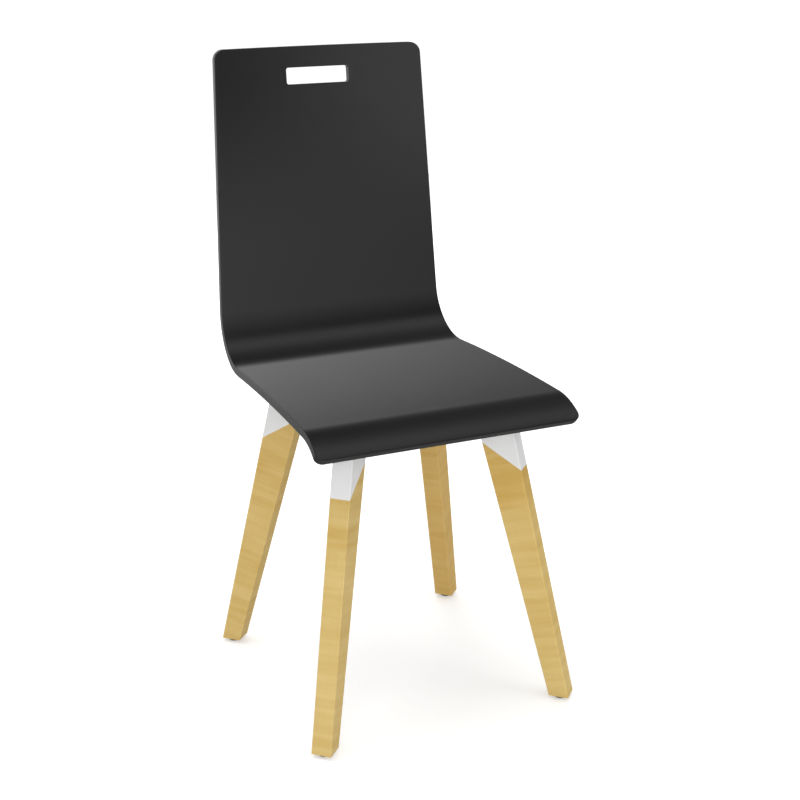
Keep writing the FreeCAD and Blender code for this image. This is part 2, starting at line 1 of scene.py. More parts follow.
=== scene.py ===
import math
import bmesh
import bpy
from mathutils import Matrix, Vector
from mathutils.bvhtree import BVHTree


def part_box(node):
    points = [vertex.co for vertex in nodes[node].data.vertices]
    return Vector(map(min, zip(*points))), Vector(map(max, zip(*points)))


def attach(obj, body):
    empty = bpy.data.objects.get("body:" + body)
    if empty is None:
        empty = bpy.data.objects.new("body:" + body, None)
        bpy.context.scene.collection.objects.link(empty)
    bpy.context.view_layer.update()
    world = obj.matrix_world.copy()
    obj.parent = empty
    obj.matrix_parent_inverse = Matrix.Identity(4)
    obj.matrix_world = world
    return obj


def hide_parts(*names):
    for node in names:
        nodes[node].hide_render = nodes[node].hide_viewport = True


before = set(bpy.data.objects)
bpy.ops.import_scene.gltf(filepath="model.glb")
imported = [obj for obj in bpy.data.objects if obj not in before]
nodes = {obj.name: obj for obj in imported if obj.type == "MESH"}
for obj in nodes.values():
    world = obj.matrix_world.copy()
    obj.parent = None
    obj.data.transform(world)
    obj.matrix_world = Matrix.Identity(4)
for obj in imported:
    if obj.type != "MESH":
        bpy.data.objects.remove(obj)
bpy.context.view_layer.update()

scene = bpy.context.scene
scene.view_settings.view_transform = "Standard"
print("frame loaded:", len(nodes), "nodes")


# camera

cameraSetup = {
    "place": (-0.8637, -1.907414, 1.1232),
    "tilt": 71.502,  # degrees up from straight down
    "turn": -25.117,
    "lens": 67.18,
}


def makeCamera(setup):
    data = bpy.data.cameras.new("photoCamera")
    data.lens = setup["lens"]
    data.sensor_width = 36
    data.clip_start, data.clip_end = 0.05, 60
    camera = bpy.data.objects.new("photoCamera", data)
    camera.location = setup["place"]
    camera.rotation_euler = (math.radians(setup["tilt"]), 0, math.radians(setup["turn"]))
    scene.collection.objects.link(camera)
    scene.camera = camera


makeCamera(cameraSetup)
print("camera set")


# node helpers

def newMaterial(name):
    material = bpy.data.materials.new(name)
    material.use_nodes = True
    return material, material.node_tree, material.node_tree.nodes["Principled BSDF"]


def feed(tree, socket, value):
    # a socket takes another node's output or a plain value
    if isinstance(value, bpy.types.NodeSocket):
        tree.links.new(value, socket)
    else:
        socket.default_value = value


def addNode(tree, kind, inputs=None, **settings):
    node = tree.nodes.new(kind)
    for name, value in settings.items():
        setattr(node, name, value)
    for name, value in (inputs or {}).items():
        feed(tree, node.inputs[name], value)
    return node


def mixColor(tree, factor, first, second):
    node = addNode(tree, "ShaderNodeMix", data_type="RGBA")
    for place, value in ((0, factor), (6, first), (7, second)):  # the sockets that colours use
        feed(tree, node.inputs[place], value)
    return node.outputs[2]


def calc(tree, operation, first, second=0.0, third=0.0, clamp=False):
    node = addNode(tree, "ShaderNodeMath", operation=operation, use_clamp=clamp)
    for socket, value in zip(node.inputs, (first, second, third)):
        feed(tree, socket, value)
    return node.outputs[0]


def remap(tree, value, fromMin, fromMax, toMin, toMax):
    node = addNode(tree, "ShaderNodeMapRange", {"Value": value, "From Min": fromMin, "From Max": fromMax,
                                               "To Min": toMin, "To Max": toMax})
    return node.outputs["Result"]


def newGroup(name, inputs, outputs):
    tree = bpy.data.node_groups.new(name, "ShaderNodeTree")
    for socketName, kind, value in inputs:
        socket = tree.interface.new_socket(socketName, in_out="INPUT", socket_type="NodeSocket" + kind)
        if value is not None:
            socket.default_value = value
    for socketName, kind in outputs:
        tree.interface.new_socket(socketName, in_out="OUTPUT", socket_type="NodeSocket" + kind)
    return tree, tree.nodes.new("NodeGroupInput").outputs, tree.nodes.new("NodeGroupOutput").inputs


def useGroup(tree, group, **values):
    node = tree.nodes.new("ShaderNodeGroup")
    node.node_tree = group
    for name, value in values.items():
        feed(tree, node.inputs[name.replace("_", " ")], value)
    return node.outputs


def objectSpace(tree, place=(0, 0, 0), turn=(0, 0, 0), scale=(1, 1, 1)):
    coordinate = addNode(tree, "ShaderNodeTexCoord")
    node = addNode(tree, "ShaderNodeMapping", {"Vector": coordinate.outputs["Object"], "Location": place,
                                               "Rotation": turn, "Scale": scale}, vector_type="POINT")
    return node.outputs["Vector"]


def addBump(tree, shader, height, distance, strength=1.0):
    bump = addNode(tree, "ShaderNodeBump", {"Height": height, "Distance": distance, "Strength": strength})
    tree.links.new(bump.outputs["Normal"], shader.inputs["Normal"])


# mesh helpers

def wholeOf(mesh):
    return mesh.verts[:] + mesh.edges[:] + mesh.faces[:]


def cutThrough(mesh, point, normal):
    bmesh.ops.bisect_plane(mesh, geom=wholeOf(mesh), plane_co=point, plane_no=normal)


def makePiece(name, mesh, smooth=True):
    for face in mesh.faces:
        face.smooth = smooth
    data = bpy.data.meshes.new(name)
    mesh.to_mesh(data)
    mesh.free()
    piece = bpy.data.objects.new(name, data)
    scene.collection.objects.link(piece)
    return piece


# shared effects

def makeEdgeGroup():
    # how strongly a point lies on a worn outer edge, broken up by noise
    tree, given, wanted = newGroup("edgeWear", [
        ("Vector", "Vector", None), ("Radius", "Float", 0.0015), ("Breakup", "Float", 60.0),
        ("Amount", "Float", 1.0)], [("Mask", "Float")])
    rounded = addNode(tree, "ShaderNodeBevel", {"Radius": given["Radius"]}, samples=6)
    geometry = addNode(tree, "ShaderNodeNewGeometry")
    likeness = addNode(tree, "ShaderNodeVectorMath", operation="DOT_PRODUCT")
    tree.links.new(rounded.outputs["Normal"], likeness.inputs[0])
    tree.links.new(geometry.outputs["Normal"], likeness.inputs[1])
    edge = remap(tree, likeness.outputs["Value"], 0.995, 0.8, 0.0, 1.0)
    noise = addNode(tree, "ShaderNodeTexNoise", {"Vector": given["Vector"], "Scale": given["Breakup"],
                                                 "Detail": 3.0, "Roughness": 0.6})
    patches = remap(tree, noise.outputs["Fac"], 0.42, 0.62, 0.25, 1.0)
    worn = calc(tree, "MULTIPLY", calc(tree, "MULTIPLY", edge, patches), given["Amount"], clamp=True)
    tree.links.new(worn, wanted["Mask"])
    return tree


def makeFinishGroup():
    # the fine orange peel of a sprayed or moulded finish, with slow handling marks in its gloss
    tree, given, wanted = newGroup("sprayedFinish", [
        ("Vector", "Vector", None), ("Peel Scale", "Float", 700.0), ("Smudge Scale", "Float", 9.0),
        ("Roughness", "Float", 0.4), ("Spread", "Float", 0.06)],
        [("Roughness", "Float"), ("Height", "Float"), ("Cloud", "Float")])
    peel = addNode(tree, "ShaderNodeTexNoise", {"Vector": given["Vector"], "Scale": given["Peel Scale"],
                                                "Detail": 2.0, "Roughness": 0.5})
    smudge = addNode(tree, "ShaderNodeTexNoise", {"Vector": given["Vector"], "Scale": given["Smudge Scale"],
                                                  "Detail": 4.0, "Roughness": 0.55, "Distortion": 0.6})
    cloud = remap(tree, smudge.outputs["Fac"], 0.3, 0.7, -1.0, 1.0)
    rough = calc(tree, "MULTIPLY_ADD", cloud, given["Spread"], given["Roughness"])
    tree.links.new(rough, wanted["Roughness"])
    tree.links.new(peel.outputs["Fac"], wanted["Height"])
    tree.links.new(smudge.outputs["Fac"], wanted["Cloud"])
    return tree


def makeWoodGroup():
    # straight grain along local Z, soft cross bands of figure, short pores, and a painted shade towards the
    # top
    tree, given, wanted = newGroup("woodGrain", [
        ("Vector", "Vector", None), ("Seed", "Float", 0.0), ("Pale", "Color", (0.8, 0.6, 0.3, 1)),
        ("Golden", "Color", (0.6, 0.42, 0.15, 1)), ("Figure", "Float", 0.5), ("Grain", "Float", 0.5)],
        [("Color", "Color"), ("Roughness", "Float"), ("Height", "Float")])

    def stretched(scale):
        node = addNode(tree, "ShaderNodeMapping", {"Vector": given["Vector"], "Scale": scale})
        return node.outputs["Vector"]

    def noiseOf(scale, detail, rough, distortion=0.0):
        node = addNode(tree, "ShaderNodeTexNoise", {
            "Vector": stretched(scale), "W": given["Seed"], "Scale": 1.0, "Detail": detail,
            "Roughness": rough, "Distortion": distortion}, noise_dimensions="4D")
        return node.outputs["Fac"]

    figure = noiseOf((9, 9, 85), 2.0, 0.5, 0.3)          # soft bands across the leg, 12 mm apart
    slow = noiseOf((5, 5, 11), 2.0, 0.5)                 # slow drift of the tone
    growth = noiseOf((110, 110, 4), 3.0, 0.6, 0.6)       # growth lines along the leg
    pores = noiseOf((1500, 1500, 45), 2.0, 0.6)
    bands = remap(tree, figure, 0.32, 0.68, -0.5, 0.5)
    lines = remap(tree, growth, 0.3, 0.7, -0.5, 0.5)
    drift = remap(tree, slow, 0.3, 0.7, -0.35, 0.35)
    tone = calc(tree, "MULTIPLY_ADD", bands, given["Figure"], 0.5)
    tone = calc(tree, "MULTIPLY_ADD", lines, given["Grain"], tone)
    height = addNode(tree, "ShaderNodeSeparateXYZ", {"Vector": given["Vector"]}).outputs["Z"]
    tone = calc(tree, "ADD", tone, remap(tree, height, 0.0, 0.2, 0.0, -0.3))  # darker and more golden towards the top: painted shade under the seat
    tone = calc(tree, "ADD", tone, drift, clamp=True)
    wood = mixColor(tree, tone, given["Golden"], given["Pale"])
    pit = remap(tree, pores, 0.36, 0.46, 1.0, 0.0)
    wood = mixColor(tree, calc(tree, "MULTIPLY", pit, 0.05), wood, (0.42, 0.27, 0.1, 1))
    tree.links.new(wood, wanted["Color"])
    rough = calc(tree, "MULTIPLY_ADD", growth, 0.12, 0.36)
    tree.links.new(calc(tree, "MULTIPLY_ADD", pit, 0.08, rough), wanted["Roughness"])
    tree.links.new(calc(tree, "MULTIPLY_ADD", pit, -0.8, growth), wanted["Height"])
    return tree


edgeWear = makeEdgeGroup()
sprayedFinish = makeFinishGroup()
woodGrain = makeWoodGroup()
print("shared effects made")


# moulded seat and back

shell = {
    "thickness": 0.012,
    "topFront": (0.217848, 0.91679),   # Y and Z of the back's top edge, on the sitting side
    "lean": 5.25,                      # degrees, as are all angles here
    "backLength": 0.381381,
    "hollow": 0.0152,                  # how deep the middle of the top edge lies behind its ends
    "flatFoot": 0.061381,              # flat stretch above the bend, where the hollow ends
    "topCut": 2.9,                     # turns the cut along the top edge nearer to level
    "topCutReach": 0.022,              # and fades out this far below it
    "bend": (0.0777, 86.97, 48),       # radius on the sitting side, angle, folds
    "crown": (3.082, 5.27, 14),
    "nose": (0.0865, 42.65, 28),
    "noseEnd": (-0.238118, 0.43846),   # Y and Z where the sitting face ends, under the knees
    "backRows": 30,
    "columns": 32,
    "sideMiddle": (-0.035018, 0.4688),  # where the side plane is sideHalf from the middle
    "sideHalf": 0.19075,
    "sideTaper": 2.82,
    "sideTilt": 48.9,
    "backCorner": 0.016,
    "frontCorner": 0.0115,
    "slotWidth": 0.1013,
    "slotHeight": 0.0246,
    "slotDrop": 0.0426,                # from the top edge to the slot's middle
    "slotCorner": 0.0035,
    "slotMargin": 0.008,               # the ring of mesh round the slot
    "slotRoom": 0.03,                  # no row of mesh is nearer to the slot's middle
    "arris": 0.0012,
}


def sideX(y, z):
    # half the sheet's width where it passes through this height and depth
    tilt = math.radians(shell["sideTilt"])
    along = (y - shell["sideMiddle"][0]) * math.cos(tilt) + (z - shell["sideMiddle"][1]) * math.sin(tilt)
    return shell["sideHalf"] - math.tan(math.radians(shell["sideTaper"])) * along


def foldLines():
    # where the flat sheet is creased, and by how much, to roll it onto its arcs
    folds, at = [], shell["backLength"]
    for key, sign in (("bend", -1), ("crown", 1), ("nose", 1)):
        radius, angle, count = shell[key]
        step = math.radians(angle) / count
        for i in range(count + 1):
            folds.append((at, sign * step * (0.5 if i in (0, count) else 1.0)))
            if i < count:
                at += 2 * radius * math.sin(step / 2)
    return folds, at


def cutSlot(sheet):
    # a rounded hole: the face round it is freed, and bridged to the slot's own outline
    halfWide, halfHigh, margin = shell["slotWidth"] / 2, shell["slotHeight"] / 2, shell["slotMargin"]
    middle = Vector((0, -shell["slotDrop"], 0))
    for position, normal in ((-halfWide - margin, (1, 0, 0)), (halfWide + margin, (1, 0, 0)),
                             (-halfHigh - margin, (0, 1, 0)), (halfHigh + margin, (0, 1, 0))):
        cutThrough(sheet, middle + Vector(normal) * position, normal)
    around = min(sheet.faces, key=lambda face: (face.calc_center_median() - middle).length)
    outer = list(around.edges)
    bmesh.ops.delete(sheet, geom=[around], context="FACES_ONLY")
    corners = [sheet.verts.new(middle + Vector((x * halfWide, y * halfHigh, 0)))
               for x, y in ((-1, -1), (1, -1), (1, 1), (-1, 1))]
    sheet.faces.new(corners)
    bmesh.ops.bevel(sheet, geom=corners, offset=shell["slotCorner"], offset_type="OFFSET", segments=6,
                    profile=0.5, affect="VERTICES", material=-1)
    hole = min(sheet.faces, key=lambda face: (face.calc_center_median() - middle).length)
    inner = list(hole.edges)
    bmesh.ops.bridge_loops(sheet, edges=outer + inner)
    bmesh.ops.delete(sheet, geom=[hole], context="FACES_ONLY")


def pressHollow(sheet, top, downward):
    # the back's middle goes back while its straight sides stay, and the top edge is cut nearer to level
    inward = Vector((0, -downward.z, downward.y))
    length = shell["backLength"] - shell["flatFoot"]
    for vert in sheet.verts:
        fromTop = vert.co - top
        down, depth = fromTop.dot(downward), fromTop.dot(inward)
        if down < length:
            share = 1 - down / length
            level = top + downward * down
            across = vert.co.x / sideX(level.y, level.z)
            press = shell["hollow"] * share * share * (3 - 2 * share) * (1 - across * across)
            lift = math.tan(math.radians(shell["topCut"])) * (press + depth)
            lift *= max(0, 1 - down / shell["topCutReach"])
            vert.co += inward * press - downward * lift


def makeShell():
    folds, length = foldLines()
    top = Vector((0, shell["topFront"][0], shell["topFront"][1]))
    lean = math.radians(shell["lean"])
    downward = Vector((0, -math.sin(lean), -math.cos(lean)))
    # the flat blank lies face up, its top edge on Y = 0, and runs towards -Y
    sheet = bmesh.new()
    halfTop = sideX(top.y, top.z)
    halfNose = sideX(*shell["noseEnd"])
    blank = [sheet.verts.new(point) for point in ((-halfTop, 0, 0), (-halfNose, -length, 0),
                                                  (halfNose, -length, 0), (halfTop, 0, 0))]
    sheet.faces.new(blank)
    skew = math.atan((halfNose - halfTop) / length)
    for pair, radius, sign in ((blank[0::3], shell["backCorner"], 1),
                               (blank[1:3], shell["frontCorner"], -1)):
        reach = radius * math.tan(math.radians(45) - sign * skew / 2)
        bmesh.ops.bevel(sheet, geom=pair, offset=reach, offset_type="OFFSET", segments=12,
                        profile=0.5, affect="VERTICES", material=-1)
    cutSlot(sheet)
    rows = [shell["backLength"] * i / shell["backRows"] for i in range(1, shell["backRows"])]
    rows = [row for row in rows if abs(row - shell["slotDrop"]) > shell["slotRoom"]]
    cuts = [((0, -row, 0), (0, 1, 0)) for row in rows + [at for at, angle in folds[:-1]]]
    for i in range(1, shell["columns"]):
        x = halfNose * (2 * i / shell["columns"] - 1)
        if abs(abs(x) - shell["slotWidth"] / 2) > 0.001:  # or it would leave slivers at the slot's ends
            cuts.append(((x, 0, 0), (1, 0, 0)))
    for point, normal in cuts:
        cutThrough(sheet, point, normal)
    flat = sheet.verts.layers.float.new("along")
    for vert in sheet.verts:
        vert[flat] = -vert.co.y
    # stand it up on the back's plane, then crease it from the nose end upwards
    bmesh.ops.rotate(sheet, verts=sheet.verts[:], cent=(0, 0, 0),
                     matrix=Matrix.Rotation(math.radians(90) - lean, 3, "X"))
    bmesh.ops.translate(sheet, verts=sheet.verts[:], vec=top)
    for at, angle in reversed(folds):
        beyond = [vert for vert in sheet.verts if vert[flat] > at + 1e-6]
        if beyond:
            bmesh.ops.rotate(sheet, verts=beyond, cent=top + downward * at,
                             matrix=Matrix.Rotation(angle, 3, "X"))
    bmesh.ops.recalc_face_normals(sheet, faces=sheet.faces[:])
    upward = max(sheet.faces, key=lambda face: face.calc_area())
    if upward.normal.y > 0:
        bmesh.ops.reverse_faces(sheet, faces=sheet.faces[:])
    sitting = BVHTree.FromBMesh(sheet)
    bmesh.ops.solidify(sheet, geom=sheet.faces[:], thickness=shell["thickness"])
    for vert in sheet.verts:
        share = vert[flat] / length
        vert.co.x *= sideX(vert.co.y, vert.co.z) / (halfTop + (halfNose - halfTop) * share)
    arrises = [edge for edge in sheet.edges if len(edge.link_faces) == 2
               and edge.calc_face_angle() > math.radians(60)]
    bmesh.ops.bevel(sheet, geom=arrises, offset=shell["arris"], offset_type="OFFSET", segments=3,
                    profile=0.5, affect="EDGES", material=-1, clamp_overlap=False)
    depth = sheet.verts.layers.float.new("plyDepth")
    for vert in sheet.verts:
        vert[depth] = sitting.find_nearest(vert.co)[3] / shell["thickness"]
    pressHollow(sheet, top, downward)
    piece = makePiece("seatShell", sheet)
    weighted = piece.modifiers.new("evenShading", "WEIGHTED_NORMAL")
    weighted.keep_sharp = False
    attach(piece, "root")
    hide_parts("seat_shell")
    piece.visible_glossy = False  # the seat shows the studio, not the back that stands over it
    return piece


lacquer = {
    "color": (0.0042, 0.0040, 0.0039, 1),
    "lifted": (0.0090, 0.0085, 0.0082, 1),  # where pores and edges catch less black
    "roughness": 0.17,
    "ior": 1.5,
    "plies": 8,
}


def makeLacquer():
    material, tree, shader = newMaterial("blackLacquer")
    space = objectSpace(tree)
    edge = useGroup(tree, edgeWear, Vector=space, Radius=0.0012, Breakup=45.0, Amount=0.8)["Mask"]
    finish = useGroup(tree, sprayedFinish, Vector=space, Peel_Scale=520.0, Smudge_Scale=7.0,
                      Roughness=lacquer["roughness"], Spread=0.035)
    # veneer pores run the sheet's length, on the back as on the seat
    lengthwise = objectSpace(tree, scale=(900, 14, 14))
    pores = addNode(tree, "ShaderNodeTexNoise", {"Vector": lengthwise, "Scale": 1.0, "Detail": 3.0,
                                                 "Roughness": 0.6})
    pit = remap(tree, pores.outputs["Fac"], 0.36, 0.48, 1.0, 0.0)
    ply = addNode(tree, "ShaderNodeAttribute", attribute_name="plyDepth", attribute_type="GEOMETRY")
    layers = calc(tree, "SINE", calc(tree, "MULTIPLY", ply.outputs["Fac"], math.tau * lacquer["plies"]))
    within = calc(tree, "COMPARE", ply.outputs["Fac"], 0.5, 0.4)
    seam = calc(tree, "MULTIPLY", layers, within)
    lift = calc(tree, "MULTIPLY_ADD", finish["Cloud"], 0.35, calc(tree, "MULTIPLY", pit, 0.06))
    lift = calc(tree, "MULTIPLY_ADD", edge, 0.55, lift, clamp=True)
    tree.links.new(mixColor(tree, lift, lacquer["color"], lacquer["lifted"]), shader.inputs["Base Color"])
    rough = calc(tree, "MULTIPLY_ADD", pit, 0.015, finish["Roughness"])
    rough = calc(tree, "MULTIPLY_ADD", within, 0.10, rough)  # the cut edges shine less than the faces
    tree.links.new(rough, shader.inputs["Roughness"])
    height = calc(tree, "MULTIPLY_ADD", pit, -0.2, finish["Height"])
    height = calc(tree, "MULTIPLY_ADD", seam, 0.35, height)
    addBump(tree, shader, height, 0.00004, 0.35)
    shader.inputs["IOR"].default_value = lacquer["ior"]
    return material


seatShell = makeShell()
seatShell.data.materials.append(makeLacquer())
print("seat shell made:", len(seatShell.data.polygons), "faces")


# wooden legs

wood = {
    "pale": (0.655, 0.500, 0.200, 1),
    "golden": (0.535, 0.352, 0.085, 1),
    "figure": 0.55,
    "grain": 0.10,
    "worn": (0.72, 0.60, 0.36, 1),
    "splay": 14.5,      # degrees between a leg's middle line and the vertical
    # painted shade: each leg's colours scaled by its own factors, deepest on the rear right leg under the
    # seat
    "paintedShade": {"front_left": (0.97, 0.956, 0.963), "front_right": (0.988, 0.951, 0.876),
             "rear_left": (0.992, 0.966, 0.953), "rear_right": (0.96, 0.87, 0.741)},
    "turn": {"rear_right": 45, "rear_left": 135, "front_left": 225, "front_right": 315},
}


def makeWood(corner, seed):
    material, tree, shader = newMaterial("wood_" + corner)
    low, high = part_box(corner + "_leg")
    middle = (low + high) / 2
    # local Z runs up the leg and local X points outwards
    tilt = Matrix.Rotation(math.radians(wood["turn"][corner]), 3, "Z") @ Matrix.Rotation(
        math.radians(-wood["splay"]), 3, "Y")
    back = tilt.inverted()
    space = objectSpace(tree, place=-(back @ middle), turn=back.to_euler())
    # painted shade: this leg's pale and golden colours are scaled down by its own factors
    paintedShade = wood["paintedShade"][corner] + (1,)
    pale, golden = ([channel * part for channel, part in zip(wood[key], paintedShade)] for key in ("pale", "golden"))
    grain = useGroup(tree, woodGrain, Vector=space, Seed=seed, Pale=pale, Golden=golden,
                     Figure=wood["figure"], Grain=wood["grain"])
    edge = useGroup(tree, edgeWear, Vector=space, Radius=0.0014, Breakup=35.0, Amount=0.7)["Mask"]
    color = mixColor(tree, calc(tree, "MULTIPLY", edge, 0.15), grain["Color"], wood["worn"])
    tree.links.new(color, shader.inputs["Base Color"])
    tree.links.new(grain["Roughness"], shader.inputs["Roughness"])
    addBump(tree, shader, grain["Height"], 0.00008, 0.4)
    return material


# painted and plain metal, and plastics: the colours of their cloudiness and of their worn edges

paint = {
    "colors": ((0.665, 0.665, 0.665, 1), (0.715, 0.715, 0.715, 1)),
    "worn": (0.82, 0.82, 0.81, 1),
    "roughness": 0.42,
}
zinc = {
    "colors": ((0.52, 0.53, 0.56, 1), (0.66, 0.66, 0.67, 1)),
    "worn": (0.78, 0.78, 0.78, 1),
    "roughness": 0.3,
}
plastics = {
    "naturalNylon": ((0.60, 0.59, 0.56, 1), (0.70, 0.69, 0.66, 1)),
    "glidePlastic": ((0.011, 0.011, 0.011, 1), (0.019, 0.019, 0.019, 1)),
    "roughness": 0.5,
}


def makePaint():
    material, tree, shader = newMaterial("whitePaint")
    space = objectSpace(tree)
    finish = useGroup(tree, sprayedFinish, Vector=space, Peel_Scale=900.0, Smudge_Scale=22.0,
                      Roughness=paint["roughness"], Spread=0.05)
    edge = useGroup(tree, edgeWear, Vector=space, Radius=0.0010, Breakup=90.0, Amount=0.6)["Mask"]
    color = mixColor(tree, finish["Cloud"], *paint["colors"])
    color = mixColor(tree, calc(tree, "MULTIPLY", edge, 0.4), color, paint["worn"])
    tree.links.new(color, shader.inputs["Base Color"])
    tree.links.new(finish["Roughness"], shader.inputs["Roughness"])
    addBump(tree, shader, finish["Height"], 0.00006, 0.35)
    return material


def makeZinc():
    material, tree, shader = newMaterial("zincPlate")
    space = objectSpace(tree)
    turned = objectSpace(tree, scale=(300, 300, 2600))
    lines = addNode(tree, "ShaderNodeTexNoise", {"Vector": turned, "Scale": 1.0, "Detail": 2.0})
    finish = useGroup(tree, sprayedFinish, Vector=space, Peel_Scale=1500.0, Smudge_Scale=140.0,
                      Roughness=zinc["roughness"], Spread=0.08)
    edge = useGroup(tree, edgeWear, Vector=space, Radius=0.0004, Breakup=300.0, Amount=0.8)["Mask"]
    color = mixColor(tree, finish["Cloud"], *zinc["colors"])
    color = mixColor(tree, edge, color, zinc["worn"])
    tree.links.new(color, shader.inputs["Base Color"])
    tree.links.new(calc(tree, "MULTIPLY_ADD", lines.outputs["Fac"], 0.1, finish["Roughness"]),
                   shader.inputs["Roughness"])
    addBump(tree, shader, lines.outputs["Fac"], 0.00002, 0.5)
    shader.inputs["Metallic"].default_value = 1.0
    return material


def makePlastic(name):
    dark, light = plastics[name]
    material, tree, shader = newMaterial(name)
    space = objectSpace(tree)
    finish = useGroup(tree, sprayedFinish, Vector=space, Peel_Scale=1800.0, Smudge_Scale=60.0,
                      Roughness=plastics["roughness"], Spread=0.07)
    edge = useGroup(tree, edgeWear, Vector=space, Radius=0.0006, Breakup=200.0, Amount=0.8)["Mask"]
    color = mixColor(tree, finish["Cloud"], dark, light)
    lifted = [min(1.0, channel * 1.35 + 0.01) for channel in light[:3]] + [1]
    tree.links.new(mixColor(tree, edge, color, lifted), shader.inputs["Base Color"])
    tree.links.new(finish["Roughness"], shader.inputs["Roughness"])
    addBump(tree, shader, finish["Height"], 0.00005, 0.5)
    return material


whitePaint = makePaint()
zincPlate = makeZinc()
nylon = makePlastic("naturalNylon")
glidePlastic = makePlastic("glidePlastic")
corners = ("front_right", "front_left", "rear_left", "rear_right")
finishes = {corner + "_leg": makeWood(corner, 3.7 + 5.1 * i) for i, corner in enumerate(corners)}
for corner in corners:
    finishes[corner + "_leg_socket"] = finishes[corner + "_frame_arm"] = whitePaint
    finishes[corner + "_glide"] = glidePlastic
finishes.update(frame_hub=whitePaint, hub_gusset=whitePaint, front_seat_pads=nylon, rear_seat_pads=nylon,
                seat_bolts=zincPlate, seat_washers=zincPlate, threaded_inserts=zincPlate,
                leg_screws=zincPlate, glide_screws=zincPlate)
for name, material in finishes.items():
    nodes[name].visible_glossy = False  # or the back would show the frame through the seat
    for holder in nodes[name].material_slots:
        holder.material = material
print("finishes given to", len(finishes), "nodes")


# weld beads where the cross frame's arms meet the sockets, the hub and its plate

welds = {
    "center": (0, -0.035018),          # the frame's middle
    "radius": 0.0015,
    "pitch": 0.0017,                   # between ripples
    "armHalf": 0.0125,
    "armHeights": (0.4295, 0.4495),
    "socketFace": (0.13168, 0.12595),  # how far out an arm meets its socket, at those heights
    "hubFace": 0.025,
    "plateFace": 0.046,
    "short": 0.0012,                   # how far a bead stops before the arm's corner
    "widths": (0.85, 1.1),             # a ripple's waist and its swell, as shares of the radius
    "tipWidth": 0.5,
}


def runBead(beads, start, end):
    # a tube that swells once for each ripple and draws in at its ends
    run = end - start
    count = 2 * round(run.length / welds["pitch"])
    lay = Matrix.Translation(start) @ run.to_track_quat("Z", "Y").to_matrix().to_4x4()
    begun = bmesh.ops.create_circle(beads, cap_ends=True, segments=8, matrix=lay,
                                    radius=welds["radius"] * welds["tipWidth"])
    tip = begun["verts"][0].link_faces[0]
    for i in range(count):
        grown = bmesh.ops.extrude_face_region(beads, geom=[tip])["geom"]
        tip = next(part for part in grown if isinstance(part, bmesh.types.BMFace))
        bmesh.ops.translate(beads, verts=tip.verts[:], vec=run / count)
        middle = tip.calc_center_median()
        width = welds["radius"] * (welds["tipWidth"] if i == count - 1 else welds["widths"][i % 2])
        factor = width / (tip.verts[0].co - middle).length
        bmesh.ops.scale(beads, verts=tip.verts[:], vec=(factor, factor, factor),
                        space=Matrix.Translation(-middle))


def makeWelds():
    low, high = welds["armHeights"]
    half, short = welds["armHalf"], welds["short"]
    lower, upper = welds["socketFace"]
    lines = [((lower, short - half, low), (lower, half - short, low)),
             ((welds["plateFace"], short - half, low), (welds["plateFace"], half - short, low))]
    for side in (-half, half):
        lines.append(((lower, side, low + short), (upper, side, high - short)))
        lines.append(((welds["hubFace"], side, low + short), (welds["hubFace"], side, high - short)))
    beads = bmesh.new()
    for start, end in lines:
        runBead(beads, Vector(start), Vector(end))
    arm = wholeOf(beads)
    for turn in (90, 180, 270):
        copied = bmesh.ops.duplicate(beads, geom=arm)["geom"]
        bmesh.ops.rotate(beads, verts=[part for part in copied if isinstance(part, bmesh.types.BMVert)],
                         cent=(0, 0, 0), matrix=Matrix.Rotation(math.radians(turn), 3, "Z"))
    bmesh.ops.rotate(beads, verts=beads.verts[:], cent=(0, 0, 0),
                     matrix=Matrix.Rotation(math.radians(45), 3, "Z"))
    bmesh.ops.translate(beads, verts=beads.verts[:], vec=(*welds["center"], 0))
    bmesh.ops.recalc_face_normals(beads, faces=beads.faces[:])
    piece = makePiece("weldBeads", beads)
    piece.data.materials.append(whitePaint)
    piece.visible_glossy = False
    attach(piece, "root")
    print("weld beads made:", len(piece.data.polygons), "faces")


makeWelds()


# floor, lamps and surroundings

studio = {
    "world": 0.55,
    "aim": (0, 0, 0.45),
    "floorHalf": 30,
    "floorGap": 0.0003,
    "floorSeen": (0.36, 0.62),  # light added for the camera, beside the chair and far off
    "floorReach": (0.7, 2.8),   # how far from the middle those two are
    "key": {"place": (-1.7, -2.8, 1.1), "size": 2.0, "power": 49},
    "fill": {"place": (2.3, -2.2, 0.95), "size": 2.0, "power": 32},
    "top": {"place": (-0.3, 0.4, 2.9), "size": 2.2, "power": 38},
    "rear": {"place": (0.9, 3.1, 1.3), "size": 2.0, "power": 24},
}


def makeLamp(name, settings):
    data = bpy.data.lights.new(name, "AREA")
    data.shape = "DISK"
    data.size = settings["size"]
    data.energy = settings["power"]
    lamp = bpy.data.objects.new(name, data)
    place = Vector(settings["place"])
    lamp.location = place
    lamp.rotation_euler = (Vector(studio["aim"]) - place).to_track_quat("-Z", "Y").to_euler()
    lamp.visible_glossy = False  # gloss shows the soft surroundings instead of the lamps' discs
    scene.collection.objects.link(lamp)


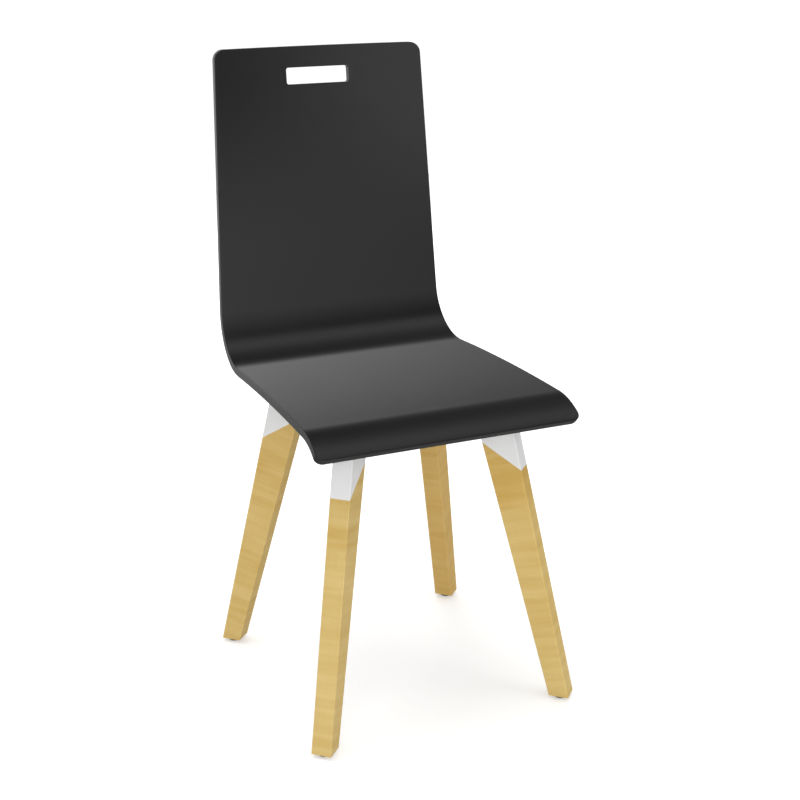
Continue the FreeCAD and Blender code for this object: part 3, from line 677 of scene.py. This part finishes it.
def makeFloor():
    floor = bmesh.new()
    bmesh.ops.create_grid(floor, x_segments=2, y_segments=2, size=studio["floorHalf"])
    bmesh.ops.translate(floor, verts=floor.verts[:], vec=(0, 0, -studio["floorGap"]))
    piece = makePiece("studioFloor", floor, smooth=False)
    piece.visible_glossy = False
    material, tree, shader = newMaterial("floorWhite")
    shader.inputs["Base Color"].default_value = (0.8, 0.8, 0.8, 1)
    shader.inputs["Roughness"].default_value = 1.0
    shader.inputs["Specular IOR Level"].default_value = 0.0
    path = addNode(tree, "ShaderNodeLightPath")
    away = addNode(tree, "ShaderNodeVectorMath", {"Vector": objectSpace(tree)}, operation="LENGTH")
    glow = remap(tree, away.outputs["Value"], *studio["floorReach"], *studio["floorSeen"])
    seen = calc(tree, "MULTIPLY", path.outputs["Is Camera Ray"], glow)
    shader.inputs["Emission Color"].default_value = (1, 1, 1, 1)
    tree.links.new(seen, shader.inputs["Emission Strength"])
    under = addNode(tree, "ShaderNodeNewGeometry").outputs["Backfacing"]
    tree.links.new(calc(tree, "SUBTRACT", 1.0, under), shader.inputs["Alpha"])  # seen through from below
    piece.data.materials.append(material)


# what gloss sees: how bright the studio is from the front horizon, over the top, to the rear horizon, in
# degrees, in the middle, to the right and to the left; below the horizon it mirrors this
surroundings = {
    "middle": ((0, 1.0), (6, 0.98), (14, 0.90), (25, 0.78), (40, 0.58), (52, 0.38), (62, 0.40), (68, 0.66),
               (77, 0.90), (86, 0.85), (95, 0.59), (105, 0.32), (118, 0.17), (130, 0.14), (142, 0.28),
               (150, 0.67), (157, 1.00), (165, 0.84), (180, 0.64)),
    "right": ((0, 0.36), (6, 0.32), (14, 0.26), (25, 0.18), (40, 0.10), (52, 0.06), (62, 0.17), (68, 0.44),
              (77, 0.65), (86, 0.63), (95, 0.47), (105, 0.32), (118, 0.24), (130, 0.19), (142, 0.15),
              (150, 0.13), (157, 0.12), (165, 0.06), (180, 0.06)),
    "left": ((0, 0.90), (60, 0.45), (100, 0.45), (130, 0.35), (150, 0.20), (160, 0.25), (170, 0.90),
             (180, 1.80)),
    "rightX": (0.22, 0.62),    # where the middle's light gives way to the right's
    "leftX": (0.05, -0.30),    # and to the left's
}


def makeRamp(tree, turn, stops):
    ramp = addNode(tree, "ShaderNodeValToRGB", {"Fac": turn})
    ramp.color_ramp.interpolation = "B_SPLINE"
    elements = ramp.color_ramp.elements
    while len(elements) < len(stops):
        elements.new(0.5)
    for element, (angle, level) in zip(elements, stops):
        element.position = angle / 180
        element.color = (level, level, level, 1)
    return ramp.outputs["Color"]


def makeWorld():
    world = bpy.data.worlds.new("studio")
    scene.world = world
    world.use_nodes = True
    tree = world.node_tree
    background = tree.nodes["Background"]
    direction = addNode(tree, "ShaderNodeTexCoord").outputs["Generated"]
    split = addNode(tree, "ShaderNodeSeparateXYZ", {"Vector": direction})
    turn = calc(tree, "ARCTAN2", calc(tree, "ABSOLUTE", split.outputs["Z"]),
                calc(tree, "MULTIPLY", split.outputs["Y"], -1.0))
    turn = remap(tree, turn, 0.0, math.pi, 0.0, 1.0)
    rightward = remap(tree, split.outputs["X"], *surroundings["rightX"], 0.0, 1.0)
    gloss = mixColor(tree, rightward, makeRamp(tree, turn, surroundings["middle"]),
                     makeRamp(tree, turn, surroundings["right"]))
    leftward = remap(tree, split.outputs["X"], *surroundings["leftX"], 0.0, 1.0)
    gloss = mixColor(tree, leftward, gloss, makeRamp(tree, turn, surroundings["left"]))
    path = addNode(tree, "ShaderNodeLightPath")
    seen = calc(tree, "MAXIMUM", path.outputs["Is Camera Ray"], path.outputs["Is Transmission Ray"])
    level = studio["world"]
    color = mixColor(tree, path.outputs["Is Glossy Ray"], (level, level, level, 1), gloss)
    tree.links.new(mixColor(tree, seen, color, (1, 1, 1, 1)), background.inputs["Color"])
    background.inputs["Strength"].default_value = 1.0


makeFloor()
makeWorld()
for name in ("key", "fill", "top", "rear"):
    makeLamp(name, studio[name])
print("studio set")
